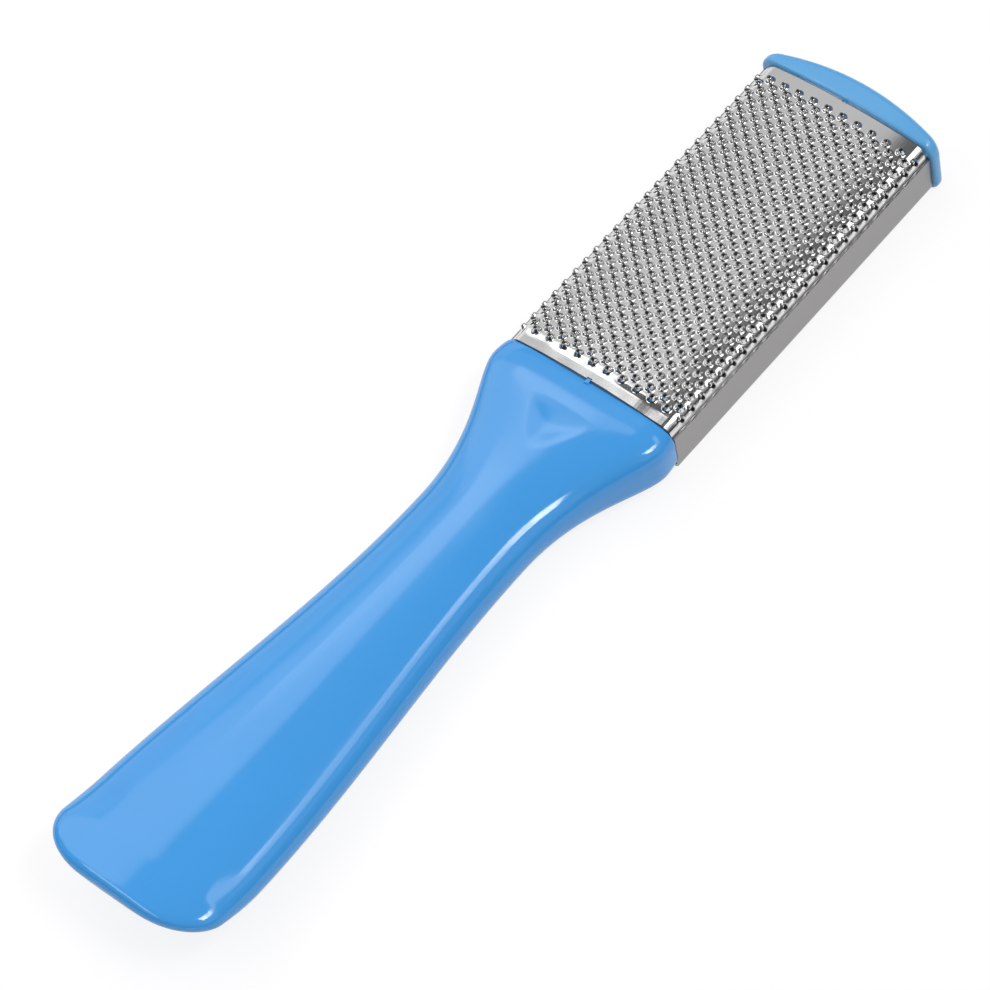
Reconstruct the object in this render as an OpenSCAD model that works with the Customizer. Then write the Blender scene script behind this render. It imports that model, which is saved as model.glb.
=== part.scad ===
// Two-sided foot file: a steel rasp head with a coarse and a fine face on a moulded plastic handle.
// X runs along the file towards the end cap, Z points up out of the coarse face.
// The origin is under the middle of the file, at the height of the fine nubs' tips.

/* [Head] */
// Width over the side walls of the fine shell
head_w = 45.5; // [40:0.5:52]
// Length of the two metal plates
head_l = 89; // [70:1:110]
// Height from the fine face to the crest of the coarse face
head_t = 15; // [13:0.5:18]
// Rise of the coarse face's crown from its rolled edges to its middle
crown_h = 1.2; // [0.6:0.1:2]
// Thickness of the sheet steel
sheet_t = 0.6; // [0.4:0.1:0.8]
// Outside radius of the coarse plate's rolled edges
roll_r = 3; // [2.8:0.1:3.5]
// Outside radius of the fine shell's bends
bend_r = 2; // [1.5:0.1:2.5]
// Height of the fine shell's side walls
wall_h = 10.8; // [9:0.1:11.5]
// Depth of the coarse plate's skirts below the top of the side walls
skirt_h = 4; // [2:0.5:6]

/* [Coarse nubs] */
// Pitch of the coarse nubs across the plate
coarse_pitch_w = 4; // [3.6:0.1:4.4]
// Pitch of the coarse nubs along the plate
coarse_pitch_l = 3.53; // [3.2:0.01:3.8]
// Radius of a coarse nub's foot
coarse_r = 1.15; // [0.9:0.05:1.2]
// Radius of a coarse nub's broken tip
coarse_tip_r = 0.3; // [0.2:0.05:0.5]
// Height of a coarse nub
coarse_h = 1.25; // [0.9:0.05:1.4]
// Plain strip between a plate's end and its first row of nubs
plain_strip = 3.8; // [3:0.1:6]

/* [Fine nubs] */
// Pitch of the fine nubs across the shell
fine_pitch_w = 3.2; // [3:0.1:4]
// Pitch of the fine nubs along the shell
fine_pitch_l = 3; // [2.8:0.1:4]
// Radius of a fine nub's foot
fine_r = 0.75; // [0.5:0.05:0.9]
// Radius of a fine nub's tip
fine_tip_r = 0.25; // [0.15:0.05:0.4]
// Height of a fine nub
fine_h = 0.5; // [0.3:0.05:0.8]

/* [Handle] */
// Length of the handle from its end to the collar's face
handle_l = 152.6; // [130:0.2:170]
// Widest width of the collar
collar_w = 47.2; // [45:0.2:54]
// Thickness of the collar
collar_t = 14.8; // [13.6:0.2:15.4]
// Width of the waist
waist_w = 29; // [24:0.2:34]
// Thickness of the waist
waist_t = 14.2; // [12:0.2:14.6]
// Distance of the waist from the collar's face
waist_s = 40; // [34:1:50]
// How far the waist dips below the middle of the head
waist_sink = 0.7; // [0:0.1:0.9]
// Width of the paddle end
tail_w = 44.2; // [38:0.2:50]
// Thickness of the paddle before its underside sweeps up
tail_t = 14.2; // [11:0.2:15]
// Rise of the paddle end above the middle of the head
tail_rise = 4.6; // [0:0.2:5]
// Length of the paddle end's rounded corners
corner_l = 10; // [6:0.5:12]
// Width of the paddle end's rounded corners
corner_w = 15; // [8:0.5:16]
// Length over which the paddle's underside sweeps up to its thin end
sweep_l = 20; // [12:1:30]
// Thickness of the paddle's thin end
end_t = 4.6; // [4.6:0.2:7]
// Radius of the paddle end's rounded edge
tail_edge_r = 2; // [1:0.1:2.2]
// Length over which the collar rounds in to the joint
collar_lip_l = 4; // [2:0.5:6]
// Inset of the collar's face against its widest section
collar_lip_inset = 0.45; // [0.2:0.05:0.8]
// Length of the thumb dimple
dimple_l = 8.5; // [6:0.5:12]
// Width of the thumb dimple
dimple_w = 13; // [10:0.5:16]
// Depth of the thumb dimple
dimple_d = 1; // [0.6:0.1:1.2]
// Rounding radius of the thumb dimple's corners
dimple_r = 3; // [2:0.5:4]
// Distance of the thumb dimple from the collar's face
dimple_s = 10; // [8:0.5:14]

/* [Core and joints] */
// Dark gap between the collar's face and the metal
joint_gap = 0.5; // [0.3:0.1:1]
// Clearance between the parts that slide into each other
fit_gap = 0.1; // [0.05:0.05:0.15]
// Wall of the core
core_wall = 2.4; // [1.6:0.1:3]
// Rib of the core
core_rib = 1.6; // [1.2:0.1:2.4]
// Web between the core's upper and lower pockets
core_web = 3; // [2:0.5:5]
// Number of rows of pockets in each face of the core
core_bays = 6; // [4:1:8]
// Length of the core's tenon in the handle
tenon_l = 18; // [12:1:22]
// Width of the core's tenon
tenon_w = 18; // [12:1:20]
// Thickness of the core's tenon
tenon_t = 7; // [5:0.5:8]
// Length of the end cap's plug in the core
plug_l = 9; // [6:1:11]
// Width of the end cap's plug
plug_w = 24; // [14:1:28]
// Thickness of the end cap's plug
plug_t = 5; // [4:0.5:6]
// Width of the locating nibs that sit in the notches of the metal
nib_w = 2; // [1.5:0.1:3]
// Length of the locating nibs
nib_l = 1; // [0.6:0.1:1.4]

/* [End cap] */
// Thickness of the end cap at its middle
cap_l = 6.3; // [4.5:0.1:8]
// Thickness of the end cap at its sides
cap_side_l = 1.9; // [1.4:0.1:2.4]
// How far the cap stands proud of the metal all round
cap_proud = 1.1; // [0.6:0.1:1.6]
// Rounding radius of the cap's outer edge
cap_edge_r = 2; // [1:0.1:2.4]

/* [Hidden] */
plastic_blue = [0.30, 0.60, 0.88];
core_blue = [0.24, 0.46, 0.70];
steel_bright = [0.78, 0.79, 0.80];
steel_satin = [0.60, 0.60, 0.61];
// Overrun of every cutting solid past the face that it cuts
cut = 1;
// Facets on the rounds that carry over as true curves
round_fn = 64;
nub_fn = 16;

// Heights: the fine nubs' tips are at zero
face_z = fine_h;
crest_z = face_z + head_t;
wall_z = face_z + wall_h;
mid_z = face_z + head_t / 2;

// Places along the file
overall_l = handle_l + joint_gap + head_l + cap_l;
tail_x = -overall_l / 2;
collar_x = tail_x + handle_l;
metal_x = collar_x + joint_gap;
cap_x = metal_x + head_l;
head_x = metal_x + head_l / 2;

// Section of the coarse plate: a shallow crown arc that runs into a rolled edge on each side
coarse_half_w = head_w / 2 - sheet_t - fit_gap;
roll_y = coarse_half_w - roll_r;
crown_r = (roll_y * roll_y + crown_h * crown_h) / (2 * crown_h);
// The roll turns away from the crown by this angle where the two meet
roll_break = 3;
roll_start = asin(roll_y / crown_r) + roll_break;
meet_y = roll_y + roll_r * sin(roll_start);
meet_z = crest_z - crown_r + sqrt(crown_r * crown_r - meet_y * meet_y);
roll_z = meet_z - roll_r * cos(roll_start);
meet_arc = crown_r * asin(meet_y / crown_r) * PI / 180;
skirt_z = wall_z - skirt_h;

// Solid section under the coarse face, drawn in by inset, down to the height floor_z
module coarse_section(inset, floor_z) {
    intersection() {
        translate([0, crest_z - crown_r]) circle(r = crown_r - inset, $fn = 4 * round_fn);
        translate([-meet_y, floor_z]) square([2 * meet_y, crest_z - floor_z]);
    }
    for (side = [-1, 1])
        translate([side * roll_y, roll_z]) circle(r = roll_r - inset, $fn = round_fn);
    translate([inset - coarse_half_w, floor_z]) square([2 * (coarse_half_w - inset), roll_z - floor_z]);
}

// Solid section of the fine shell, drawn in by inset, up to the height top_z
module fine_section(inset, top_z) {
    low = face_z + inset;
    half = head_w / 2 - inset;
    bend = head_w / 2 - bend_r;
    for (side = [-1, 1])
        translate([side * bend, face_z + bend_r]) circle(r = bend_r - inset, $fn = round_fn);
    translate([-bend, low]) square([2 * bend, top_z - low]);
    translate([-half, face_z + bend_r]) square([2 * half, top_z - face_z - bend_r]);
}

// Stretches a Y-Z section along X from one place to another
module along(from_x, to_x) {
    translate([from_x, 0, 0]) rotate([90, 0, 90]) linear_extrude(height = to_x - from_x) children();
}

// Notches at both ends of a plate, for the locating nibs
module nib_notches(low_z, high_z) {
    notch_w = nib_w + 2 * fit_gap;
    for (end = [metal_x - cut, cap_x - nib_l - fit_gap])
        translate([end, -notch_w / 2, low_z])
            cube([nib_l + fit_gap + cut, notch_w, high_z - low_z]);
}

// Tilt and place of a point on the coarse plate, by its distance from the middle over the sheet
function plate_tilt(arc) = abs(arc) < meet_arc
    ? arc / crown_r * 180 / PI
    : sign(arc) * (roll_start + (abs(arc) - meet_arc) / roll_r * 180 / PI);
function plate_yz(arc) = abs(arc) < meet_arc
    ? [crown_r * sin(plate_tilt(arc)), crest_z - crown_r + crown_r * cos(plate_tilt(arc))]
    : [sign(arc) * roll_y + roll_r * sin(plate_tilt(arc)), roll_z + roll_r * cos(abs(plate_tilt(arc)))];

// Rows of nubs stand half a pitch apart along the plate, and every other row is shifted half a pitch
coarse_rows = floor((head_l - 2 * plain_strip) / (coarse_pitch_l / 2)) + 1;
// The outermost coarse nubs stand on the rolled edges, tilted by no more than this
roll_reach = 60;
coarse_reach = meet_arc + roll_r * (roll_reach - roll_start) * PI / 180;
coarse_side = floor(coarse_reach / (coarse_pitch_w / 2));
fine_rows = floor((head_l - 2 * plain_strip) / (fine_pitch_l / 2)) + 1;
fine_side = floor((head_w / 2 - bend_r - fine_r) / (fine_pitch_w / 2));
// How deep a nub's foot is buried in its sheet
foot_sink_share = 0.75;
foot_sink = foot_sink_share * sheet_t;

// One punched nub: a cone with a broken-off tip, its foot in the sheet
module nub(foot_r, tip_r, h) {
    slope = (foot_r - tip_r) / h;
    translate([0, 0, -foot_sink])
        cylinder(h = h + foot_sink, r1 = foot_r + slope * foot_sink, r2 = tip_r, $fn = nub_fn);
}

module coarse_nubs() {
    for (row = [0 : coarse_rows - 1])
        for (column = [row % 2 - coarse_side : 2 : coarse_side]) {
            arc = column * coarse_pitch_w / 2;
            yz = plate_yz(arc);
            x = head_x + (row - (coarse_rows - 1) / 2) * coarse_pitch_l / 2;
            translate([x, yz[0], yz[1]]) rotate([-plate_tilt(arc), 0, 0])
                nub(coarse_r, coarse_tip_r, coarse_h);
        }
}

module fine_nubs() {
    for (row = [0 : fine_rows - 1])
        for (column = [row % 2 - fine_side : 2 : fine_side]) {
            x = head_x + (row - (fine_rows - 1) / 2) * fine_pitch_l / 2;
            translate([x, column * fine_pitch_w / 2, face_z]) rotate([180, 0, 0])
                nub(fine_r, fine_tip_r, fine_h);
        }
}

// Upper plate: crowned, rolled down at its sides, its skirts nested inside the fine shell
module coarse_rasp_plate() color(steel_bright) {
    difference() {
        along(metal_x, cap_x) coarse_section(0, skirt_z);
        along(metal_x - cut, cap_x + cut) coarse_section(sheet_t, skirt_z - cut);
        nib_notches(meet_z, crest_z + cut);
    }
    coarse_nubs();
}

// Lower shell: a flat fine face bent up into the two side walls
module fine_rasp_plate() color(steel_satin) {
    difference() {
        along(metal_x, cap_x) fine_section(0, wall_z);
        along(metal_x - cut, cap_x + cut) fine_section(sheet_t, wall_z + cut);
        nib_notches(face_z - cut, face_z + sheet_t + cut);
    }
    fine_nubs();
}

// Core: fills the two shells, its pockets open under both faces, with a tenon for the handle
core_inset = sheet_t + fit_gap;
core_half_w = coarse_half_w - core_inset;
core_floor_z = face_z + core_inset;
core_span_w = 2 * core_half_w - 2 * core_wall;
pocket_w = (core_span_w - core_rib) / 2;
bay_l = (head_l - plug_l - 2 * core_wall - (core_bays - 1) * core_rib) / core_bays;

module core_pockets() {
    for (bay = [0 : core_bays - 1])
        for (side = [-1, 1]) {
            x = metal_x + core_wall + bay * (bay_l + core_rib);
            y = side * (core_rib + pocket_w) / 2 - pocket_w / 2;
            translate([x, y, mid_z + core_web / 2]) cube([bay_l, pocket_w, head_t]);
            translate([x, y, mid_z - core_web / 2 - head_t]) cube([bay_l, pocket_w, head_t]);
        }
}

module head_core() color(core_blue) {
    difference() {
        union() {
            along(collar_x, cap_x) intersection() {
                coarse_section(core_inset, core_floor_z);
                fine_section(core_inset, crest_z);
            }
            translate([collar_x - tenon_l, -tenon_w / 2, mid_z - tenon_t / 2])
                cube([tenon_l + cut, tenon_w, tenon_t]);
        }
        core_pockets();
        translate([cap_x - plug_l, -plug_w / 2, mid_z - plug_t / 2])
            cube([plug_l + cut, plug_w, plug_t]);
    }
}

// A cubic curve through a named run of control values, at t from 0 to 1
function curve(p, t) = p[0] * pow(1 - t, 3) + 3 * p[1] * t * pow(1 - t, 2)
    + 3 * p[2] * t * t * (1 - t) + p[3] * pow(t, 3);

// Handle skin: rounded sections strung from the collar's face to the paddle's end.
// A section is [distance from the collar's face, half width, half thickness, rise, squareness].
flare_share = [0.17, 0.44];
paddle_share = [0.34, 0.64];
collar_square = 4.6;
waist_square = 2.3;
tail_square = 2.3;
sweep_power = 1.6;
corner_s = handle_l - corner_l;
lip_steps = 4;
flare_steps = 12;
paddle_steps = 16;
corner_steps = 8;
around_steps = 44;

flare_l = waist_s - collar_lip_l;
paddle_l = corner_s - waist_s;

function lip_section(t) =
    let (drop = collar_lip_inset * pow(1 - t, 2))
    [collar_lip_l * t, collar_w / 2 - drop, collar_t / 2 - drop, 0, collar_square];
function flare_section(t) = [
    collar_lip_l + flare_l * curve([0, flare_share[0], flare_share[1], 1], t),
    curve([collar_w, collar_w, waist_w, waist_w], t) / 2,
    curve([collar_t, collar_t, waist_t, waist_t], t) / 2,
    curve([0, 0, -waist_sink, -waist_sink], t),
    curve([collar_square, collar_square, waist_square, waist_square], t)
];
function paddle_section(t) = [
    waist_s + paddle_l * curve([0, paddle_share[0], paddle_share[1], 1], t),
    curve([waist_w, waist_w, tail_w, tail_w], t) / 2,
    curve([waist_t, waist_t, tail_t, tail_t], t) / 2,
    (tail_rise + waist_sink) * t * t - waist_sink,
    curve([waist_square, waist_square, tail_square, tail_square], t)
];
// The paddle's corners turn in plan while its edge rolls over in height
function edge_half_t(s) =
    let (past = max(0, s - handle_l + tail_edge_r))
    tail_t / 2 - tail_edge_r + sqrt(max(0, tail_edge_r * tail_edge_r - past * past));
function corner_section(t) =
    let (s = corner_s + corner_l * sin(90 * t))
    [s, tail_w / 2 - corner_w * (1 - cos(90 * t)), edge_half_t(s), tail_rise, tail_square];
// The underside sweeps up to the thin end, while the top runs straight on
function sweep_up(s) =
    (tail_t - end_t) * pow(max(0, s - handle_l + sweep_l) / sweep_l, sweep_power);
function swept(section) =
    let (up = sweep_up(section[0]))
    [section[0], section[1], section[2] - up / 2, section[3] + up / 2, section[4]];

handle_sections = concat(
    [for (i = [0 : lip_steps - 1]) lip_section(i / lip_steps)],
    [for (i = [0 : flare_steps - 1]) flare_section(i / flare_steps)],
    [for (i = [0 : paddle_steps - 1]) swept(paddle_section(i / paddle_steps))],
    [for (i = [0 : corner_steps]) swept(corner_section(i / corner_steps))]
);

function rounded(value, square) = sign(value) * pow(abs(value), 2 / square);
function ring(section) = [for (i = [0 : around_steps - 1])
    let (a = 360 * i / around_steps) [
        collar_x - section[0],
        section[1] * rounded(cos(a), section[4]),
        mid_z + section[3] + section[2] * rounded(sin(a), section[4])
    ]];
// Walls between neighbouring rings of points strung towards -X, and the face inside the last ring
function ring_walls(rings, around) = [for (r = [0 : rings - 2]) for (i = [0 : around - 1])
    let (j = (i + 1) % around, a = r * around, b = a + around)
    each [[a + i, b + j, b + i], [a + i, a + j, b + j]]];
function last_face(rings, around) = [for (i = [0 : around - 1]) (rings - 1) * around + i];

module handle_skin() {
    rings = len(handle_sections);
    first_face = [for (i = [around_steps - 1 : -1 : 0]) i];
    polyhedron(
        points = [for (section = handle_sections) each ring(section)],
        faces = concat(
            [first_face],
            ring_walls(rings, around_steps),
            [last_face(rings, around_steps)]
        )
    );
}

// Shallow three-cornered thumb dimple, its point towards the paddle
module thumb_dimple(top) {
    // The rim that a ball of this radius leaves when it sinks in by the dimple's depth
    rim_r = sqrt(dimple_r * dimple_r - pow(dimple_r - dimple_d, 2));
    half_w = dimple_w / 2 - rim_r;
    place_s = [dimple_s + rim_r, dimple_s + rim_r, dimple_s + dimple_l - rim_r];
    place_y = [-half_w, half_w, 0];
    surface_z = collar_t / 2 - dimple_d + dimple_r;
    translate([collar_x, 0, mid_z]) mirror([0, 0, top ? 0 : 1]) hull()
        for (i = [0 : 2])
            translate([-place_s[i], place_y[i], surface_z]) sphere(r = dimple_r, $fn = 24);
}

// Blue nibs that key the metal to the collar and to the end cap
module nib(from_x, to_x, low_z, high_z) {
    translate([from_x, -nib_w / 2, low_z]) cube([to_x - from_x, nib_w, high_z - low_z]);
}

module handle() color(plastic_blue) {
    socket_w = tenon_w + 2 * fit_gap;
    socket_t = tenon_t + 2 * fit_gap;
    nib_from_x = collar_x - 2 * nib_l;
    nib_to_x = metal_x + nib_l;
    difference() {
        handle_skin();
        translate([collar_x - tenon_l - fit_gap, -socket_w / 2, mid_z - socket_t / 2])
            cube([tenon_l + fit_gap + cut, socket_w, socket_t]);
        thumb_dimple(true);
        thumb_dimple(false);
    }
    nib(nib_from_x, nib_to_x, crest_z - sheet_t, mid_z + collar_t / 2);
    nib(nib_from_x, nib_to_x, mid_z - collar_t / 2, face_z + sheet_t);
}

// End cap: it follows the metal's outline, proud of it, down to the height of the fine nubs' tips.
// Its front bows out in plan, and its outer edge is rounded all the way round.
cap_half_w = head_w / 2 + cap_proud;
cap_top_z = crest_z + cap_proud;
cap_crown_r = crown_r + cap_proud;
cap_crown_z = cap_top_z - cap_crown_r;
cap_top_r = roll_r + cap_proud;
cap_low_r = bend_r + cap_proud;
cap_top_y = cap_half_w - cap_top_r;
cap_low_y = cap_half_w - cap_low_r;
// Half the angle of the crown, where it runs smoothly into the upper corners
cap_turn = asin(cap_top_y / (cap_crown_r - cap_top_r));
cap_corner_z = cap_crown_z + (cap_crown_r - cap_top_r) * cos(cap_turn);
cap_mid_z = cap_top_z / 2;
cap_corner_steps = 6;
cap_side_steps = 12;
cap_edge_steps = 7;
cap_front_steps = 4;

// Points of an arc in the Y-Z plane, each as [y, z, outward y, outward z]
function cap_arc(y, z, r, from, to, steps) = [for (i = [0 : steps])
    let (a = from + (to - from) * i / steps) [y + r * cos(a), z + r * sin(a), cos(a), sin(a)]];
function inner(points) = [for (i = [1 : len(points) - 2]) points[i]];
cap_outline = concat(
    cap_arc(cap_top_y, cap_corner_z, cap_top_r, 0, 90 - cap_turn, cap_corner_steps),
    inner(cap_arc(0, cap_crown_z, cap_crown_r, 90 - cap_turn, 90 + cap_turn, cap_side_steps)),
    cap_arc(-cap_top_y, cap_corner_z, cap_top_r, 90 + cap_turn, 180, cap_corner_steps),
    cap_arc(-cap_low_y, cap_low_r, cap_low_r, 180, 270, cap_corner_steps),
    [for (i = [1 : cap_side_steps - 1]) [cap_low_y * (2 * i / cap_side_steps - 1), 0, 0, -1]],
    cap_arc(cap_low_y, cap_low_r, cap_low_r, -90, 0, cap_corner_steps)
);
cap_around = len(cap_outline);

// Thickness of the cap at a distance from its middle line, before its edge is rounded
function cap_bow(y) = cap_l - (cap_l - cap_side_l) * pow(y / cap_half_w, 2);
// A ring of points, by its inset from the outline and its share of the way to the middle
function cap_ring(inset, share) = [for (point = cap_outline)
    let (
        y = (1 - share) * (point[0] - inset * point[2]),
        z = (1 - share) * (point[1] - inset * point[3] - cap_mid_z),
        depth = min(cap_edge_r, cap_bow(y) / 2),
        drop = 1 - sqrt(1 - pow(1 - inset / cap_edge_r, 2))
    ) [cap_x + cap_bow(y) - depth * drop, y, cap_mid_z + z]];

module cap_shell() {
    front_rings = [for (i = [cap_front_steps - 1 : -1 : 1]) cap_ring(cap_edge_r, i / cap_front_steps)];
    edge_rings = [for (i = [cap_edge_steps : -1 : 0])
        cap_ring(cap_edge_r * (1 - cos(90 * i / cap_edge_steps)), 0)];
    back_ring = [for (point = cap_outline) [cap_x, point[0], point[1]]];
    rings = concat(front_rings, edge_rings, [back_ring]);
    middle = len(rings) * cap_around;
    polyhedron(
        points = concat([for (points = rings) each points], [[cap_x + cap_l, 0, cap_mid_z]]),
        faces = concat(
            [for (i = [0 : cap_around - 1]) [(i + 1) % cap_around, i, middle]],
            ring_walls(len(rings), cap_around),
            [last_face(len(rings), cap_around)]
        )
    );
}

module end_cap() color(plastic_blue) {
    plug_half_w = plug_w / 2 - fit_gap;
    plug_half_t = plug_t / 2 - fit_gap;
    cap_shell();
    translate([cap_x - plug_l + fit_gap, -plug_half_w, mid_z - plug_half_t])
        cube([plug_l - fit_gap + cap_side_l / 2, 2 * plug_half_w, 2 * plug_half_t]);
    nib(cap_x - nib_l, cap_x + cap_side_l / 2, crest_z - sheet_t, crest_z);
    nib(cap_x - nib_l, cap_x + cap_side_l / 2, face_z, face_z + sheet_t);
}

handle();
head_core();
coarse_rasp_plate();
fine_rasp_plate();
end_cap();
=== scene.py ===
import math
import random

import bmesh
import bpy
import numpy as np
from mathutils import Matrix, Vector


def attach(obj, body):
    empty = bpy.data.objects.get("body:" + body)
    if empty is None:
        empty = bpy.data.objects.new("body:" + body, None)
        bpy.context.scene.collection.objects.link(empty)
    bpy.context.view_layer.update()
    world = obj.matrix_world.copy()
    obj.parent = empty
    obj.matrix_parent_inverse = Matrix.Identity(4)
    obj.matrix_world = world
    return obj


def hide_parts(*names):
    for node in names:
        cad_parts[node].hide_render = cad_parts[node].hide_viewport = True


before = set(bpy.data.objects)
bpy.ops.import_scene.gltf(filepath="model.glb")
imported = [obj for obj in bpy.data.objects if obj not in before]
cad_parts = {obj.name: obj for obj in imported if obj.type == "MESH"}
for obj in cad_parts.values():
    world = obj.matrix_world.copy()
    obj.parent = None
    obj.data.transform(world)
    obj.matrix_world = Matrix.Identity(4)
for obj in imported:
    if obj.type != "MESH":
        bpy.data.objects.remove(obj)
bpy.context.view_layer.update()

# Camera: it looks down on the file from beside the handle, a long lens a good metre away,
# and sees the file lie slanted across the frame with the head at the upper right.
camera_place = Vector((-0.36819, -0.45657, 0.85596))
image_right = Vector((0.6343, -0.7608, -0.1372)).normalized()
sight_line = Vector((0.3552, 0.4444, -0.8224))
sight_line = (sight_line - sight_line.dot(image_right) * image_right).normalized()
image_down = sight_line.cross(image_right)
camera_data = bpy.data.cameras.new("camera")
camera_data.sensor_width = 36.0
camera_data.lens = 178.2
camera_data.clip_start = 0.05
camera_data.clip_end = 20.0
camera = bpy.data.objects.new("camera", camera_data)
camera.matrix_world = Matrix.Translation(camera_place) @ Matrix(
    (image_right, -image_down, -sight_line)).transposed().to_4x4()
bpy.context.scene.collection.objects.link(camera)
bpy.context.scene.camera = camera


# Handle: one injection moulding in gloss blue plastic, a flat paddle that narrows to a waist
# and flares out to the collar, where it meets the metal head. A shallow thumb dimple lies on
# both faces behind the collar, and small nibs at the joint key into the metal.
MM = 0.001
HANDLE_L = 152.6
COLLAR_X = 28.4
MIDDLE_Z = 8.0
collar_w, collar_t = 47.2, 14.8
waist_w, waist_t, waist_s, waist_sink = 29.0, 14.2, 40.0, 0.7
tail_w, tail_t, tail_rise = 44.2, 14.2, 4.6
corner_l, corner_w, tail_edge_r = 10.0, 15.0, 2.0
sweep_l, end_t, sweep_power = 20.0, 4.6, 1.6
collar_lip_l, collar_lip_inset = 4.0, 0.45
collar_square, waist_square, tail_square = 4.6, 2.3, 2.3
flare_share, paddle_share = (0, 0.17, 0.44, 1), (0, 0.34, 0.64, 1)
lip_steps, flare_steps, paddle_steps, corner_steps, ring_points = 12, 100, 80, 40, 288
dimple_s, dimple_l, dimple_w, dimple_d = 8.5, 12.0, 17.0, 0.3
dimple_soft, dimple_spill, dimple_rim = 1.8, 1.2, 5.5


def cubic(p, t):
    """A cubic curve over four control values, at t from 0 to 1."""
    u = 1 - t
    return p[0] * u ** 3 + 3 * p[1] * t * u ** 2 + 3 * p[2] * t * t * u + p[3] * t ** 3


def swept(s, half_w, half_t, rise, square):
    """The underside sweeps up to the paddle's thin end, while the top runs straight on."""
    up = (tail_t - end_t) * (max(0.0, s - HANDLE_L + sweep_l) / sweep_l) ** sweep_power
    return s, half_w, half_t - up / 2, rise + up / 2, square


def handle_sections():
    """Sections from the collar's face to the paddle's end.

    Each is its distance from that face, half width, half thickness, rise and squareness.
    """
    sections = []
    for t in np.linspace(0, 1, lip_steps, endpoint=False):
        drop = collar_lip_inset * (1 - t) ** 2
        sections.append((collar_lip_l * t, collar_w / 2 - drop, collar_t / 2 - drop, 0, collar_square))
    flare_l = waist_s - collar_lip_l
    for t in np.linspace(0, 1, flare_steps, endpoint=False):
        sections.append((
            collar_lip_l + flare_l * cubic(flare_share, t),
            cubic((collar_w, collar_w, waist_w, waist_w), t) / 2,
            cubic((collar_t, collar_t, waist_t, waist_t), t) / 2,
            cubic((0, 0, -waist_sink, -waist_sink), t),
            cubic((collar_square, collar_square, waist_square, waist_square), t),
        ))
    corner_s = HANDLE_L - corner_l
    for t in np.linspace(0, 1, paddle_steps, endpoint=False):
        sections.append(swept(
            waist_s + (corner_s - waist_s) * cubic(paddle_share, t),
            cubic((waist_w, waist_w, tail_w, tail_w), t) / 2,
            cubic((waist_t, waist_t, tail_t, tail_t), t) / 2,
            (tail_rise + waist_sink) * t * t - waist_sink,
            cubic((waist_square, waist_square, tail_square, tail_square), t),
        ))
    for t in np.linspace(0, 1, corner_steps):
        turn = t * math.pi / 2
        s = corner_s + corner_l * math.sin(turn)
        past = max(0.0, s - HANDLE_L + tail_edge_r)
        half_t = tail_t / 2 - tail_edge_r + math.sqrt(max(0.0, tail_edge_r ** 2 - past ** 2))
        half_w = tail_w / 2 - corner_w * (1 - math.cos(turn))
        sections.append(swept(s, half_w, half_t, tail_rise, tail_square))
    return sections


def rounded_ring(half_w, half_t, square, count):
    """Evenly spaced points round a rounded rectangle, starting from its right side."""
    points_per_degree = 4
    a = np.linspace(0, 2 * math.pi, 360 * points_per_degree + 1)
    y = half_w * np.sign(np.cos(a)) * np.abs(np.cos(a)) ** (2 / square)
    z = half_t * np.sign(np.sin(a)) * np.abs(np.sin(a)) ** (2 / square)
    run = np.concatenate(([0], np.cumsum(np.hypot(np.diff(y), np.diff(z)))))
    even = np.linspace(0, run[-1], count, endpoint=False)
    return np.interp(even, run, y), np.interp(even, run, z)


def ring_mesh(name, rings, first_end, last_end):
    """A smooth closed skin over rings of points, in millimetres, closed by a point at each end."""
    count = len(rings[0])
    points = [p for ring in rings for p in ring]
    faces = []
    for r in range(len(rings) - 1):
        a, b = r * count, (r + 1) * count
        for i in range(count):
            j = (i + 1) % count
            faces.append((a + i, b + i, b + j, a + j))
    for end, start, step in ((first_end, 0, -1), (last_end, (len(rings) - 1) * count, 1)):
        points.append(end)
        for i in range(count):
            j = (i + step) % count
            faces.append((start + i, len(points) - 1, start + j))
    mesh = bpy.data.meshes.new(name)
    mesh.from_pydata([Vector(p) * MM for p in points], [], faces)
    mesh.shade_smooth()
    made = bmesh.new()
    made.from_mesh(mesh)
    bmesh.ops.recalc_face_normals(made, faces=made.faces)
    made.to_mesh(mesh)
    made.free()
    piece = bpy.data.objects.new(name, mesh)
    bpy.context.scene.collection.objects.link(piece)
    return piece


def soft_step(distance, width):
    """Rises smoothly from 0 to 1 over the width."""
    t = np.clip(distance / width, 0, 1)
    return t * t * (3 - 2 * t)


def dimple_depth(s, y):
    """Depth of the soft three-cornered thumb dimple, its point towards the paddle."""
    half_w = dimple_w / 2
    side = math.hypot(half_w, dimple_l)
    reach = half_w * dimple_l - half_w * (s - dimple_s)
    # The sum is largest next to a side, so its logarithm rounds the three corners
    near = np.exp(-(s - dimple_s + 0 * y) / dimple_soft)
    for flank in (-1, 1):
        near = near + np.exp(-(reach - flank * dimple_l * y) / side / dimple_soft)
    return dimple_d * soft_step(dimple_spill - dimple_soft * np.log(near), dimple_rim)


def add_block(piece, low, high, edge_r):
    """Adds a small block with rounded edges to a moulding, between two corners in millimetres."""
    block = bmesh.new()
    bmesh.ops.create_cube(block, size=1)
    for corner in block.verts:
        corner.co = Vector([(a + b) / 2 + c * (b - a) for a, b, c in zip(low, high, corner.co)]) * MM
    bmesh.ops.bevel(block, geom=block.edges[:], offset=edge_r * MM, segments=3, profile=0.5,
        affect="EDGES")
    for face in block.faces:
        face.smooth = True
    block.from_mesh(piece.data)
    block.to_mesh(piece.data)
    block.free()


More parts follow.
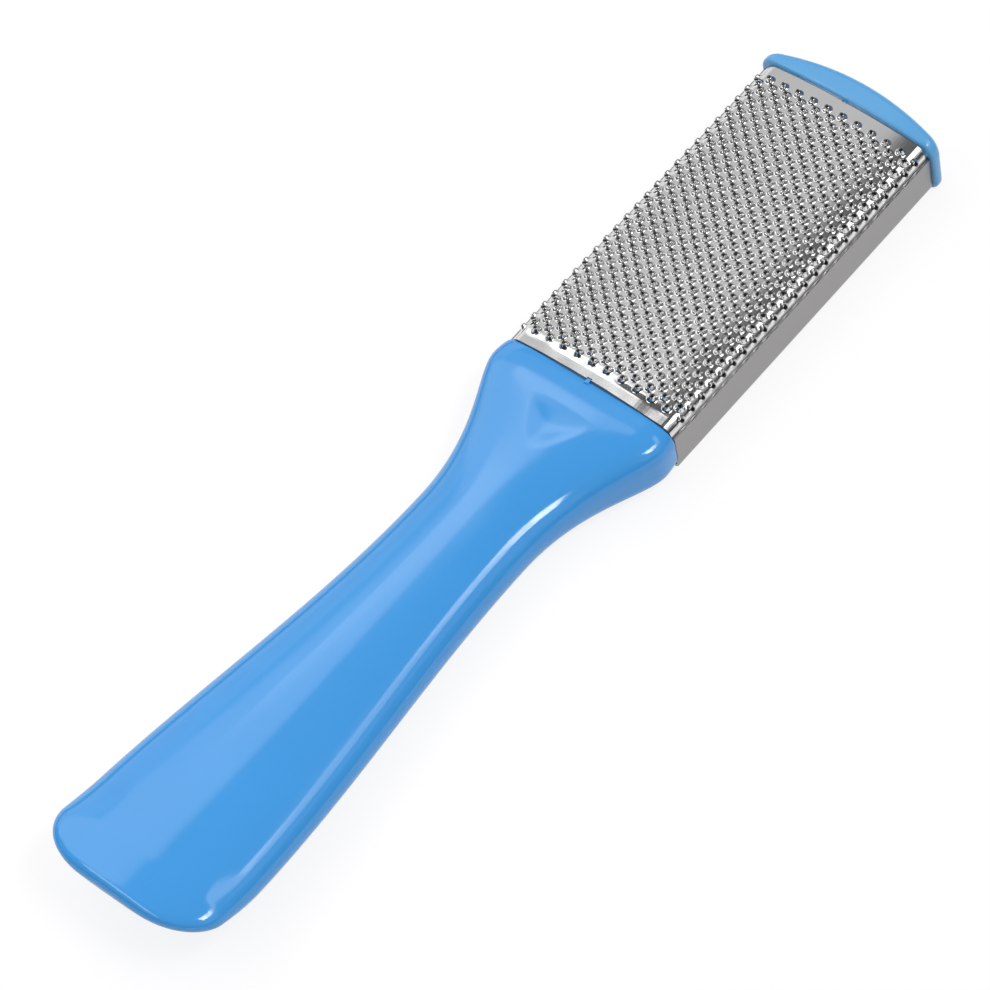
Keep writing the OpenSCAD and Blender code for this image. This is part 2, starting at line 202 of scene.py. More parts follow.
handle_rings = []
for s, half_w, half_t, rise, square in handle_sections():
    ys, zs = rounded_ring(half_w, half_t, square, ring_points)
    zs = zs - np.sign(zs) * np.where(np.abs(zs) > half_t / 2, dimple_depth(s, ys), 0)
    handle_rings.append([(COLLAR_X - s, y, MIDDLE_Z + rise + z) for y, z in zip(ys, zs)])
tail_middle_z = MIDDLE_Z + tail_rise + (tail_t - end_t) / 2
handle = ring_mesh("handle_moulding", handle_rings,
    first_end=(COLLAR_X, 0, MIDDLE_Z), last_end=(COLLAR_X - HANDLE_L, 0, tail_middle_z))
NIB_HALF_W, NIB_REACH, NIB_T, NIB_EDGE_R = 0.5, 0.7, 0.55, 0.15
for nib_z in (MIDDLE_Z + collar_t / 2 - NIB_T, MIDDLE_Z - collar_t / 2):
    add_block(handle, (COLLAR_X - NIB_REACH, -NIB_HALF_W, nib_z),
        (COLLAR_X + NIB_REACH, NIB_HALF_W, nib_z + NIB_T), NIB_EDGE_R)


def plastic(name, colour, roughness):
    """Gloss moulded plastic: even colour with a faint flow mottle and a slightly uneven skin."""
    material = bpy.data.materials.new(name)
    material.use_nodes = True
    nodes, links = material.node_tree.nodes, material.node_tree.links
    shader = nodes["Principled BSDF"]
    shader.inputs["Roughness"].default_value = roughness
    shader.inputs["IOR"].default_value = 1.49
    place = nodes.new("ShaderNodeTexCoord")
    mottle = nodes.new("ShaderNodeTexNoise")
    mottle.inputs["Scale"].default_value = 60.0
    mottle.inputs["Detail"].default_value = 3.0
    links.new(place.outputs["Object"], mottle.inputs["Vector"])
    tint = nodes.new("ShaderNodeMix")
    tint.data_type = "RGBA"
    tint.inputs["A"].default_value = (*[c * 0.97 for c in colour], 1)
    tint.inputs["B"].default_value = (*[min(1, c * 1.03) for c in colour], 1)
    links.new(mottle.outputs["Fac"], tint.inputs["Factor"])
    links.new(tint.outputs["Result"], shader.inputs["Base Color"])
    skin = nodes.new("ShaderNodeTexNoise")
    skin.inputs["Scale"].default_value = 35.0
    skin.inputs["Detail"].default_value = 1.0
    links.new(place.outputs["Object"], skin.inputs["Vector"])
    bump = nodes.new("ShaderNodeBump")
    bump.inputs["Strength"].default_value = 0.05
    bump.inputs["Distance"].default_value = 0.0004
    links.new(skin.outputs["Fac"], bump.inputs["Height"])
    links.new(bump.outputs["Normal"], shader.inputs["Normal"])
    return material


handle_blue = plastic("handle_blue", (0.052, 0.292, 0.68), roughness=0.1)
handle.data.materials.append(handle_blue)
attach(handle, "root")
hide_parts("handle")


# Head core: a ribbed blue plastic moulding that fills the metal, fixed in the handle by its
# tenon. It is the solid from the CAD model, seen only as a dark line in the joint. Its blue is
# painted far darker than the handle's, a painted shade for the gap of the joint.
core_blue = plastic("core_blue", (0.03, 0.09, 0.18), roughness=0.45)
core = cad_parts["head_core"]
core.data.materials.clear()
core.data.materials.append(core_blue)


# Fine rasp plate: the lower shell of the head, satin stainless sheet. It is punched flat with
# small shallow nubs, then bent up at both sides into the two plain walls of the head.
METAL_X = 28.9
HEAD_L = 89.0
HEAD_W = 45.5
FACE_Z = 0.5
SHEET_T = 0.6
NOTCH_W, NOTCH_L = 1.3, 0.4
END_L, END_STEP, MIDDLE_LINES = 6.0, 0.4, 39
NUB_KINDS = 7
bend_r, wall_h = 2.0, 10.8
fine_pitch_w, fine_pitch_l = 3.2, 3.0


def blank_sheet(name, widths, thickness):
    """A flat blank of sheet metal, its outer face at height zero, notched in the middle of each end.

    The lines of its grid lie closer together near both ends.
    """
    ends = np.concatenate(([0], np.arange(NOTCH_L, END_L - END_STEP, END_STEP)))
    middle = np.linspace(END_L, HEAD_L - END_L, MIDDLE_LINES)
    lengths = np.concatenate((ends, middle, HEAD_L - ends[::-1]))
    blank = bmesh.new()
    grid = [[blank.verts.new(((METAL_X + x) * MM, y * MM, 0)) for y in widths] for x in lengths]
    for i in range(len(lengths) - 1):
        for j in range(len(widths) - 1):
            mid_x = (lengths[i] + lengths[i + 1]) / 2
            mid_y = (widths[j] + widths[j + 1]) / 2
            in_notch = abs(mid_y) < NOTCH_W / 2 and not NOTCH_L < mid_x < HEAD_L - NOTCH_L
            if not in_notch:
                blank.faces.new((grid[i][j], grid[i + 1][j], grid[i + 1][j + 1], grid[i][j + 1]))
    loose = [v for v in blank.verts if not v.link_faces]
    bmesh.ops.delete(blank, geom=loose, context="VERTS")
    top = list(blank.faces)
    lower = bmesh.ops.duplicate(blank, geom=top)
    twin = {}
    for old, new in lower["vert_map"].items():
        twin[old] = new
    for v in [g for g in lower["geom"] if isinstance(g, bmesh.types.BMVert)]:
        v.co.z = -thickness * MM
    under = [g for g in lower["geom"] if isinstance(g, bmesh.types.BMFace)]
    bmesh.ops.reverse_faces(blank, faces=under)
    # The cut edges: a wall from each open edge down to its twin
    for face in top:
        for loop in face.loops:
            if len(loop.edge.link_faces) == 1:
                a, b = loop.vert, loop.link_loop_next.vert
                blank.faces.new((b, a, twin[a], twin[b]))
    mesh = bpy.data.meshes.new(name)
    blank.to_mesh(mesh)
    blank.free()
    return mesh


def nub_mesh(name, rings, around, lobes, jitter, rng):
    """One punched nub, from rings of radius, height, lobe depth and tear, listed from its foot.

    An attribute marks the tip and its lip, which the steel material paints dark as a painted shade for
    the hole torn in the tip.
    """
    turn = rng.uniform(0, 2 * math.pi)
    wear = [rng.uniform(-1, 1) for _ in range(around)]
    nub = bmesh.new()
    painted_hole_shade = nub.verts.layers.float.new("painted_hole_shade")
    loops = []
    for level, (radius, height, lobe, tear) in enumerate(rings):
        loop = []
        for i in range(around):
            a = 2 * math.pi * i / around
            side = 1 + lobe * math.cos(lobes * a + turn)
            r = radius * side * (1 + jitter * rng.uniform(-1, 1) * (level > 0))
            h = height + tear * wear[i] + tear * math.cos(lobes * a + turn)
            loop.append(nub.verts.new((r * math.cos(a) * MM, r * math.sin(a) * MM, h * MM)))
        loops.append(loop)
    for low, high in zip(loops[:-1], loops[1:]):
        for i in range(around):
            j = (i + 1) % around
            nub.faces.new((low[i], low[j], high[j], high[i]))
    nub.faces.new(loops[-1])
    # Painted shade: the tip, and less strongly its lip, are marked for the steel to paint dark
    for vert in loops[-1]:
        vert[painted_hole_shade] = 1.0
    for vert in loops[-2]:
        vert[painted_hole_shade] = 0.6
    mesh = bpy.data.meshes.new(name)
    nub.to_mesh(mesh)
    nub.free()
    mesh.shade_smooth()
    return mesh


def nub_set(name, rings, around, lobes, jitter):
    """A collection outside the scene with a few kinds of one nub, for the punching tree."""
    rng = random.Random(name)
    group = bpy.data.collections.new(name)
    for kind in range(NUB_KINDS):
        mesh = nub_mesh(f"{name}_{kind}", rings, around, lobes, jitter, rng)
        group.objects.link(bpy.data.objects.new(f"{name}_{kind}", mesh))
    return group


def punching_tree():
    """Geometry nodes that punch a staggered field of nubs into a flat blank."""
    tree = bpy.data.node_groups.new("punch_nubs", "GeometryNodeTree")
    face = tree.interface
    face.new_socket("Blank", in_out="INPUT", socket_type="NodeSocketGeometry")
    for label, kind in (("Nubs", "NodeSocketCollection"), ("Metal", "NodeSocketMaterial"),
            ("Rows", "NodeSocketInt"), ("Columns", "NodeSocketInt"), ("Row Step", "NodeSocketFloat"),
            ("Column Step", "NodeSocketFloat"), ("Middle", "NodeSocketFloat"),
            ("Size Spread", "NodeSocketFloat"), ("Turn Spread", "NodeSocketFloat"),
            ("Seed", "NodeSocketInt")):
        face.new_socket(label, in_out="INPUT", socket_type=kind)
    face.new_socket("Punched", in_out="OUTPUT", socket_type="NodeSocketGeometry")
    nodes, links = tree.nodes, tree.links
    given = nodes.new("NodeGroupInput")
    done = nodes.new("NodeGroupOutput")

    def maths(operation, a, b=None):
        node = nodes.new("ShaderNodeMath")
        node.operation = operation
        for socket, value in zip(node.inputs, (a, b)):
            if isinstance(value, (int, float)):
                socket.default_value = value
            elif value is not None:
                links.new(value, socket)
        return node.outputs[0]

    def spread(kind, low, high, seed_shift):
        node = nodes.new("FunctionNodeRandomValue")
        node.data_type = kind
        sockets = [s for s in node.inputs if s.name in ("Min", "Max") and s.enabled]
        for socket, value in zip(sockets, (low, high)):
            if isinstance(value, (int, float)):
                socket.default_value = value
            else:
                links.new(value, socket)
        links.new(maths("ADD", given.outputs["Seed"], seed_shift), node.inputs["Seed"])
        return next(s for s in node.outputs if s.enabled)

    # Punch places: index to row and column, and every other row lacks its last column
    places = nodes.new("GeometryNodePoints")
    count = maths("MULTIPLY", given.outputs["Rows"], given.outputs["Columns"])
    links.new(count, places.inputs["Count"])
    index = nodes.new("GeometryNodeInputIndex").outputs[0]
    row = maths("FLOOR", maths("DIVIDE", maths("ADD", index, 0.5), given.outputs["Columns"]))
    column = maths("SUBTRACT", index, maths("MULTIPLY", row, given.outputs["Columns"]))
    odd = maths("MODULO", row, 2)
    along_row = maths("SUBTRACT", row, maths("DIVIDE", maths("SUBTRACT", given.outputs["Rows"], 1), 2))
    x = maths("ADD", maths("MULTIPLY", along_row, given.outputs["Row Step"]), given.outputs["Middle"])
    across = maths("SUBTRACT", maths("ADD", maths("MULTIPLY", column, 2), odd),
        maths("SUBTRACT", given.outputs["Columns"], 1))
    y = maths("MULTIPLY", across, given.outputs["Column Step"])
    spot = nodes.new("ShaderNodeCombineXYZ")
    links.new(x, spot.inputs["X"])
    links.new(y, spot.inputs["Y"])
    links.new(spot.outputs[0], places.inputs["Position"])
    short = nodes.new("GeometryNodeDeleteGeometry")
    short.domain = "POINT"
    last = maths("GREATER_THAN", across, maths("SUBTRACT", given.outputs["Columns"], 0.5))
    links.new(places.outputs[0], short.inputs["Geometry"])
    links.new(last, short.inputs["Selection"])

    # The punches: one of a few kinds of nub at each place, none quite like its neighbour
    kinds = nodes.new("GeometryNodeCollectionInfo")
    kinds.inputs["Separate Children"].default_value = True
    links.new(given.outputs["Nubs"], kinds.inputs["Collection"])
    stamp = nodes.new("GeometryNodeInstanceOnPoints")
    stamp.inputs["Pick Instance"].default_value = True
    links.new(short.outputs[0], stamp.inputs["Points"])
    links.new(kinds.outputs[0], stamp.inputs["Instance"])
    links.new(spread("INT", 0, NUB_KINDS, 1), stamp.inputs["Instance Index"])
    turn = nodes.new("ShaderNodeCombineXYZ")
    links.new(spread("FLOAT", maths("MULTIPLY", given.outputs["Turn Spread"], -1),
        given.outputs["Turn Spread"], 2), turn.inputs["Z"])
    links.new(turn.outputs[0], stamp.inputs["Rotation"])
    size = spread("FLOAT", maths("SUBTRACT", 1, given.outputs["Size Spread"]),
        maths("ADD", 1, given.outputs["Size Spread"]), 3)
    links.new(size, stamp.inputs["Scale"])
    real = nodes.new("GeometryNodeRealizeInstances")
    links.new(stamp.outputs[0], real.inputs[0])
    join = nodes.new("GeometryNodeJoinGeometry")
    links.new(real.outputs[0], join.inputs[0])
    links.new(given.outputs["Blank"], join.inputs[0])
    metal = nodes.new("GeometryNodeSetMaterial")
    links.new(join.outputs[0], metal.inputs["Geometry"])
    links.new(given.outputs["Metal"], metal.inputs["Material"])
    links.new(metal.outputs[0], done.inputs[0])
    return tree


punch_nubs = punching_tree()


def punched_sheet(name, blank, press, settings):
    """Punches a flat blank with the tree, then presses it to its section with the press function."""
    flat = bpy.data.objects.new(name + "_flat", blank)
    bpy.context.scene.collection.objects.link(flat)
    punch = flat.modifiers.new("punch", "NODES")
    punch.node_group = punch_nubs
    sockets = {s.name: s.identifier for s in punch_nubs.interface.items_tree if s.in_out == "INPUT"}
    for label, value in settings.items():
        punch[sockets[label]] = value
    depsgraph = bpy.context.evaluated_depsgraph_get()
    mesh = bpy.data.meshes.new_from_object(flat.evaluated_get(depsgraph), depsgraph=depsgraph)
    flat.modifiers.clear()
    bpy.data.objects.remove(flat)
    mesh.name = name
    count = len(mesh.vertices)
    points = np.empty(count * 3)
    mesh.vertices.foreach_get("co", points)
    points = points.reshape(count, 3) / MM
    mesh.vertices.foreach_set("co", (press(points) * MM).ravel())
    mesh.update()
    piece = bpy.data.objects.new(name, mesh)
    bpy.context.scene.collection.objects.link(piece)
    return piece


def steel(name, colour, roughness, wave, grain):
    """Stainless sheet: wave is the depth of its mirror ripples and grain of its brush lines, in mm.

    Where an attribute marks a nub's tip, the base colour is painted near black: a painted shade for the
    hole torn in the tip.
    """
    material = bpy.data.materials.new(name)
    material.use_nodes = True
    nodes, links = material.node_tree.nodes, material.node_tree.links
    shader = nodes["Principled BSDF"]
    shader.inputs["Metallic"].default_value = 1.0
    place = nodes.new("ShaderNodeTexCoord")
    clouds = nodes.new("ShaderNodeTexNoise")
    clouds.inputs["Scale"].default_value = 180.0
    clouds.inputs["Detail"].default_value = 4.0
    links.new(place.outputs["Object"], clouds.inputs["Vector"])
    shade = nodes.new("ShaderNodeMix")
    shade.data_type = "RGBA"
    shade.inputs["A"].default_value = (*[c * 0.93 for c in colour], 1)
    shade.inputs["B"].default_value = (*colour, 1)
    links.new(clouds.outputs["Fac"], shade.inputs["Factor"])
    # Painted shade: marked nub tips are mixed to near black, standing in for the shade in each torn
    # hole
    painted_hole_shade = nodes.new("ShaderNodeAttribute")
    painted_hole_shade.attribute_name = "painted_hole_shade"
    hole_shade_mix = nodes.new("ShaderNodeMix")
    hole_shade_mix.data_type = "RGBA"
    hole_shade_mix.inputs["B"].default_value = (0.015, 0.015, 0.015, 1)
    links.new(painted_hole_shade.outputs["Fac"], hole_shade_mix.inputs["Factor"])
    links.new(shade.outputs["Result"], hole_shade_mix.inputs["A"])
    links.new(hole_shade_mix.outputs["Result"], shader.inputs["Base Color"])
    rough = nodes.new("ShaderNodeMapRange")
    rough.inputs["To Min"].default_value = roughness * 0.8
    rough.inputs["To Max"].default_value = roughness * 1.3
    links.new(clouds.outputs["Fac"], rough.inputs["Value"])
    links.new(rough.outputs["Result"], shader.inputs["Roughness"])
    ripple = nodes.new("ShaderNodeTexNoise")
    ripple.inputs["Scale"].default_value = 130.0
    ripple.inputs["Detail"].default_value = 1.0
    links.new(place.outputs["Object"], ripple.inputs["Vector"])
    ripple_bump = nodes.new("ShaderNodeBump")
    ripple_bump.inputs["Distance"].default_value = wave * MM
    links.new(ripple.outputs["Fac"], ripple_bump.inputs["Height"])
    stretch = nodes.new("ShaderNodeMapping")
    stretch.inputs["Scale"].default_value = (60.0, 2500.0, 2500.0)
    links.new(place.outputs["Object"], stretch.inputs["Vector"])
    brush = nodes.new("ShaderNodeTexNoise")
    brush.inputs["Scale"].default_value = 1.0
    brush.inputs["Detail"].default_value = 2.0
    links.new(stretch.outputs["Vector"], brush.inputs["Vector"])
    brush_bump = nodes.new("ShaderNodeBump")
    brush_bump.inputs["Distance"].default_value = grain * MM
    links.new(brush.outputs["Fac"], brush_bump.inputs["Height"])
    links.new(ripple_bump.outputs["Normal"], brush_bump.inputs["Normal"])
    links.new(brush_bump.outputs["Normal"], shader.inputs["Normal"])
    return material


# Painted shade: this steel's colour is far darker than the polished plate's, so the side walls read as
# shaded; its roughness and brush lines are the real satin finish
satin_steel = steel("satin_steel", (0.318, 0.311, 0.311), roughness=0.3, wave=0.02, grain=0.02)
fine_half = HEAD_W / 2 - bend_r
fine_turn = bend_r * math.pi / 2
fine_reach = fine_half + fine_turn + wall_h - bend_r


def press_shell(points):
    """Bends the flat blank up at both sides, its outer face down and outwards."""
    x, across, height = points.T
    side = np.sign(across)
    past = np.abs(across) - fine_half
    turn = np.clip(past / bend_r, 0, math.pi / 2)
    up = np.maximum(0, past - fine_turn)
    y = np.where(past < 0, np.abs(across), fine_half + (bend_r + height) * np.sin(turn))
    z = np.where(past < 0, FACE_Z - height, FACE_Z + bend_r - (bend_r + height) * np.cos(turn) + up)
    return np.column_stack((x, side * y, z))


face_lines = np.arange(3, fine_half - 0.5, 2.0)
bend_lines = np.linspace(fine_half, fine_half + fine_turn, 9)
wall_lines = np.linspace(fine_half + fine_turn + 2, fine_reach, 5)
half_widths = np.concatenate(([0, NOTCH_W / 2], face_lines, bend_lines, wall_lines))
fine_widths = np.concatenate((-half_widths[:0:-1], half_widths))
fine_rings = [
    (0.85, -0.04, 0.0, 0.0),
    (0.62, 0.12, 0.03, 0.0),
    (0.36, 0.4, 0.05, 0.0),
    (0.22, 0.47, 0.0, 0.03),
]
fine_blank = blank_sheet("fine_blank", fine_widths, SHEET_T)
fine_shell = punched_sheet("fine_rasp_shell", fine_blank, press_shell, {
    "Nubs": nub_set("fine_nub", fine_rings, around=8, lobes=4, jitter=0.05),
    "Metal": satin_steel,
    "Rows": 55,
    "Columns": 13,
    "Row Step": fine_pitch_l / 2 * MM,
    "Column Step": fine_pitch_w / 2 * MM,
    "Middle": (METAL_X + HEAD_L / 2) * MM,
    "Size Spread": 0.0,
    "Turn Spread": 0.6,
    "Seed": 11,
})
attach(fine_shell, "root")
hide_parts("fine_rasp_plate")


# Coarse rasp plate: the upper sheet, polished stainless. Tall sharp nubs are punched up
# through it in a staggered field, and it is then crowned and rolled down at both sides,
# so that its skirts slide inside the walls of the lower shell.
CREST_Z = 15.5
roll_r, crown_h, skirt_h, nest_gap = 3.0, 1.2, 4.0, 0.1
coarse_pitch_w, coarse_pitch_l = 4.0, 3.53
coarse_half_w = HEAD_W / 2 - SHEET_T - nest_gap
roll_y = coarse_half_w - roll_r
crown_r = (roll_y ** 2 + crown_h ** 2) / (2 * crown_h)
roll_turn = math.asin(roll_y / (crown_r - roll_r))
roll_z = CREST_Z - crown_r + (crown_r - roll_r) * math.cos(roll_turn)
crown_arc = crown_r * roll_turn
roll_arc = roll_r * (math.pi / 2 - roll_turn)
coarse_reach = crown_arc + roll_arc + skirt_h
flat_nub_run, flat_nub_soft, flat_nub_loss = 20.6, 0.8, 0.45
step_l, step_soft, step_drop = 1.9, 2.2, 0.16


def press_crown(points):
    """Crowns the flat blank and rolls its sides down, its outer face up and outwards.

    The rolls squash the nubs on them, and the edge by the handle is left with a wavy step.
    """
    x, across, height = points.T
    side = np.sign(across)
    run = np.abs(across)
    on_crown = run < crown_arc
    flattened = 1 - flat_nub_loss * soft_step(run - flat_nub_run, flat_nub_soft)
    height = np.where(height > 0, height * flattened, height)
    tilt = np.where(on_crown, run / crown_r, roll_turn + np.clip(run - crown_arc, 0, roll_arc) / roll_r)
    radius = np.where(on_crown, crown_r, roll_r) + height
    y = np.where(on_crown, 0, roll_y) + radius * np.sin(tilt)
    z = np.where(on_crown, CREST_Z - crown_r, roll_z) + radius * np.cos(tilt)
    z -= np.maximum(0, run - crown_arc - roll_arc)
    waves = 1 + 0.3 * np.sin(across / 2.9) + 0.25 * np.sin(across / 1.3 + 1)
    z -= step_drop * waves * (1 - soft_step(x - METAL_X - step_l, step_soft))
    return np.column_stack((x, side * y, z))


polished_steel = steel("polished_steel", (0.76, 0.76, 0.76), roughness=0.13, wave=0.05, grain=0.0)
crown_lines = np.arange(1.5, crown_arc - 0.5, 0.8)
roll_lines = np.linspace(crown_arc, crown_arc + roll_arc, 13)
half_widths = np.concatenate(([0, NOTCH_W / 2], crown_lines, roll_lines, [coarse_reach]))
coarse_widths = np.concatenate((-half_widths[:0:-1], half_widths))
coarse_rings = [
    (1.34, -0.025, 0.0, 0.0),
    (1.16, 0.02, 0.0, 0.0),
    (1.0, 0.13, 0.0, 0.0),
    (0.8, 0.46, 0.0, 0.0),
    (0.6, 0.9, 0.01, 0.0),
    (0.45, 1.18, 0.03, 0.03),
    (0.36, 0.8, 0.0, 0.02),
]
coarse_blank = blank_sheet("coarse_blank", coarse_widths, SHEET_T)
coarse_plate = punched_sheet("coarse_rasp_sheet", coarse_blank, press_crown, {
    "Nubs": nub_set("coarse_nub", coarse_rings, around=12, lobes=3, jitter=0.0),
    "Metal": polished_steel,
    "Rows": 47,
    "Columns": 12,
    "Row Step": coarse_pitch_l / 2 * MM,
    "Column Step": coarse_pitch_w / 2 * MM,
    "Middle": (METAL_X + HEAD_L / 2) * MM,
    "Size Spread": 0.05,
    "Turn Spread": 3.14,
    "Seed": 5,
})
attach(coarse_plate, "root")
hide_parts("coarse_rasp_plate")


# End cap: a blue plastic cap plugged into the far end of the core. Its rim stands proud of
# the metal all round, its front bows out, its outer edges are well rounded, and two small nibs
# key into the metal.
CAP_X = METAL_X + HEAD_L
cap_l, cap_side_l, cap_proud, cap_edge_r, lip_r = 6.3, 2.8, 1.1, 2.0, 0.8
front_rings, edge_rings, lip_rings = 10, 16, 7
face_points, roll_points, bend_points = 42, 14, 12
cap_nib_reach, cap_nib_root = 0.3, 1.2
cap_half_w = HEAD_W / 2 + cap_proud
cap_top_z = CREST_Z + cap_proud
cap_crown_r = crown_r + cap_proud
cap_top_r, cap_low_r = roll_r + cap_proud, bend_r + cap_proud
cap_top_y, cap_low_y = cap_half_w - cap_top_r, cap_half_w - cap_low_r
cap_turn = math.asin(cap_top_y / (cap_crown_r - cap_top_r))
cap_corner_z = cap_top_z - cap_crown_r + (cap_crown_r - cap_top_r) * math.cos(cap_turn)


def cap_arc(y, z, r, start, end, count):
    """Points on an arc in rows of y and z, each with its outward direction in y and z."""
    a = np.linspace(start, end, count)
    return np.column_stack((y + r * np.cos(a), z + r * np.sin(a), np.cos(a), np.sin(a)))


def cap_outline():
    """Points round the cap with their outward directions, from its upper right corner."""
    up = math.pi / 2
    flat = np.linspace(-cap_low_y, cap_low_y, face_points)[1:-1]
    return np.concatenate((
        cap_arc(cap_top_y, cap_corner_z, cap_top_r, 0, up - cap_turn, roll_points),
        cap_arc(0, cap_top_z - cap_crown_r, cap_crown_r, up - cap_turn, up + cap_turn,
            face_points)[1:-1],
        cap_arc(-cap_top_y, cap_corner_z, cap_top_r, up + cap_turn, 2 * up, roll_points),
        cap_arc(-cap_low_y, cap_low_r, cap_low_r, 2 * up, 3 * up, bend_points),
        np.column_stack((flat, 0 * flat, 0 * flat, 0 * flat - 1)),
        cap_arc(cap_low_y, cap_low_r, cap_low_r, -up, 0, bend_points),
    ))


def cap_ring(inset, share):
    """A ring on the cap's front, inset from its outline and shrunk by a share towards its middle."""
    outline = cap_outline()
    middle = cap_top_z / 2
    y = (1 - share) * (outline[:, 0] - inset * outline[:, 2])
    z = (1 - share) * (outline[:, 1] - inset * outline[:, 3] - middle) + middle
    bow = cap_l - (cap_l - cap_side_l) * (y / cap_half_w) ** 2
    depth = np.minimum(cap_edge_r, bow / 2)
    drop = 1 - math.sqrt(max(0.0, 1 - (1 - inset / cap_edge_r) ** 2))
    return list(zip(CAP_X + bow - depth * drop, y, z))


shares = np.linspace(0, 1, front_rings, endpoint=False)[:0:-1]
front = [cap_ring(cap_edge_r, share) for share in shares]
turns = np.linspace(math.pi / 2, 0, edge_rings)
edge = [cap_ring(cap_edge_r * (1 - math.cos(turn)), 0) for turn in turns]
lip = []
outline = cap_outline()
for turn in np.linspace(0, math.pi / 2, lip_rings):
    inset = lip_r * (1 - math.cos(turn))
    reach = lip_r * (1 - math.sin(turn))
    lip.append([(CAP_X + reach, y - inset * ny, z - inset * nz) for y, z, ny, nz in outline])
end_cap = ring_mesh("end_cap_moulding", front + edge + lip,
    first_end=(CAP_X + cap_l, 0, cap_top_z / 2), last_end=(CAP_X, 0, cap_top_z / 2))
for nib_z in (CREST_Z - NIB_T, FACE_Z):
    add_block(end_cap, (CAP_X - cap_nib_reach, -NIB_HALF_W, nib_z),
        (CAP_X + cap_nib_root, NIB_HALF_W, nib_z + NIB_T), NIB_EDGE_R)
cap_blue = plastic("cap_blue", (0.105, 0.35, 0.66), roughness=0.16)
end_cap.data.materials.append(cap_blue)
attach(end_cap, "root")
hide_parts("end_cap")


# Studio: a white table top in a dark room. Level panels beyond the file, on the near side and
# at its left are what the gloss and the polished metal mirror, and one large fill panel, which
# nothing mirrors, gives the even light.
table_mesh = bpy.data.meshes.new("table_top")
half_table, glow_share = 0.7, 0.85
table_mesh.from_pydata([(-half_table, -half_table, 0), (half_table, -half_table, 0),
    (half_table, half_table, 0), (-half_table, half_table, 0)], [], [(0, 1, 2, 3)])
table_top = bpy.data.objects.new("table_top", table_mesh)
bpy.context.scene.collection.objects.link(table_top)
white_table = bpy.data.materials.new("white_table")
white_table.use_nodes = True
nodes, links = white_table.node_tree.nodes, white_table.node_tree.links
nodes.clear()
# For the camera and for reflections most of the white is a glow, and the rest takes the shadow
surface = nodes.new("ShaderNodeOutputMaterial")
matt = nodes.new("ShaderNodeBsdfDiffuse")
matt.inputs["Color"].default_value = (0.9, 0.9, 0.9, 1)
glow = nodes.new("ShaderNodeEmission")
glow.inputs["Strength"].default_value = 1.0
rays = nodes.new("ShaderNodeLightPath")
share = nodes.new("ShaderNodeMath")
share.operation = "MULTIPLY"
share.inputs[1].default_value = glow_share
clear = nodes.new("ShaderNodeMath")
clear.operation = "MAXIMUM"
links.new(rays.outputs["Is Camera Ray"], clear.inputs[0])
links.new(rays.outputs["Is Glossy Ray"], clear.inputs[1])
links.new(clear.outputs[0], share.inputs[0])
blend = nodes.new("ShaderNodeMixShader")
links.new(share.outputs[0], blend.inputs["Fac"])
links.new(matt.outputs[0], blend.inputs[1])
links.new(glow.outputs[0], blend.inputs[2])
links.new(blend.outputs[0], surface.inputs["Surface"])
table_mesh.materials.append(white_table)


def panel_light(name, middle, length, width, turn, brightness, mirrored=True):
    """A flat panel that hangs level and shines down, its length turned from the file's own length."""
    lamp = bpy.data.lights.new(name, "AREA")
    lamp.shape = "RECTANGLE"
    lamp.size = length
    lamp.size_y = width
    lamp.energy = brightness * math.pi * length * width
    light = bpy.data.objects.new(name, lamp)
    light.matrix_world = Matrix.Translation(middle) @ Matrix.Rotation(math.radians(turn), 4, "Z")
    light.visible_camera = False
    light.visible_glossy = mirrored
    bpy.context.scene.collection.objects.link(light)


# The bright zone along the handle's left and on its collar
panel_light("far_panel", (0.056, 0.79, 0.5), 0.352, 1.10, 0, 1.65)
panel_light("collar_panel", (0.207, 0.24, 0.49), 0.054, 0.25, 0, 1.7)
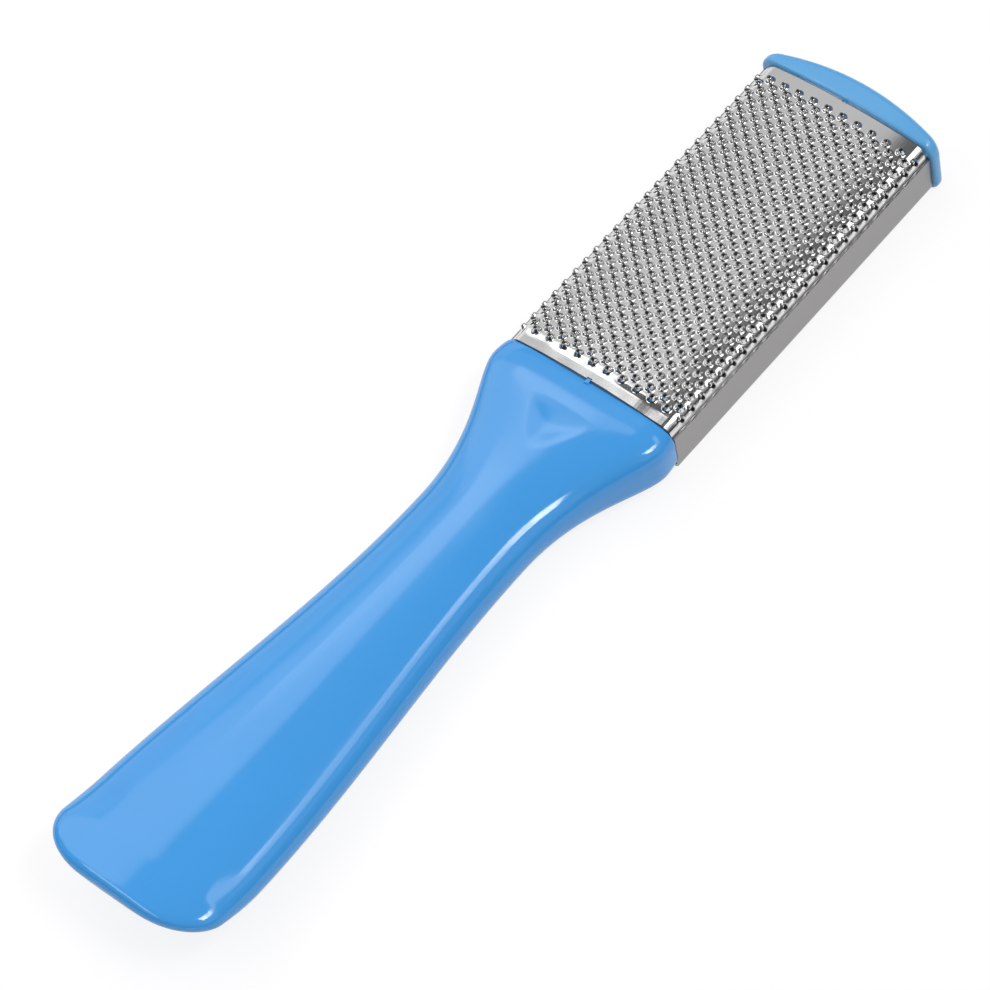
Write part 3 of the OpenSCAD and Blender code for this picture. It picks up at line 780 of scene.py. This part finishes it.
# The coarse plate's even grey, and what its nubs mirror farther off
panel_light("far_grey", (0.365, 0.375, 0.5), 0.265, 0.49, 0, 0.54)
panel_light("far_side", (0.616, 0.98, 0.5), 0.768, 0.72, 0, 0.9)
panel_light("far_wall", (0.75, 2.34, 0.5), 1.50, 2.00, 0, 1.0)
# The glints along the handle's right and on the nubs, weaker towards the end cap
panel_light("near_lamp", (0.25, -1.15, 2.0), 0.40, 0.60, 0, 18.0)
panel_light("near_lamp_middle", (0.65, -1.15, 2.0), 0.40, 0.60, 0, 12.0)
panel_light("near_lamp_end", (0.955, -1.15, 2.0), 0.21, 0.60, 0, 5.0)
panel_light("near_strip", (1.23, -0.83, 2.0), 0.34, 1.34, 0, 2.4)
panel_light("near_wall", (0.6, -3.2, 2.0), 2.4, 3.0, 0, 0.5)
# The even light, and a glow on the handle's left rim
panel_light("fill", (0.0, 0.0, 1.6), 2.4, 2.4, 0, 0.9, mirrored=False)
panel_light("left_strip", (-0.40, 0.19, 0.5), 0.50, 0.18, 47, 3.6)

# The room is dark, a little less so overhead, and plain white where the camera sees it
world = bpy.data.worlds.new("dim_room")
bpy.context.scene.world = world
world.use_nodes = True
nodes, links = world.node_tree.nodes, world.node_tree.links
room = nodes["Background"]
where = nodes.new("ShaderNodeTexCoord")
overhead = nodes.new("ShaderNodeVectorMath")
overhead.operation = "DOT_PRODUCT"
overhead.inputs[1].default_value = (0.5, 0.1, 0.86)
links.new(where.outputs["Generated"], overhead.inputs[0])
ramp = nodes.new("ShaderNodeMapRange")
ramp.inputs["From Min"].default_value = -0.1
ramp.inputs["From Max"].default_value = 0.75
ramp.inputs["To Min"].default_value = 0.03
ramp.inputs["To Max"].default_value = 0.12
links.new(overhead.outputs["Value"], ramp.inputs["Value"])
rays = nodes.new("ShaderNodeLightPath")
seen = nodes.new("ShaderNodeMix")
seen.data_type = "RGBA"
seen.inputs["B"].default_value = (1, 1, 1, 1)
links.new(rays.outputs["Is Camera Ray"], seen.inputs["Factor"])
links.new(ramp.outputs["Result"], seen.inputs["A"])
links.new(seen.outputs["Result"], room.inputs["Color"])
bpy.context.scene.view_settings.view_transform = "Standard"
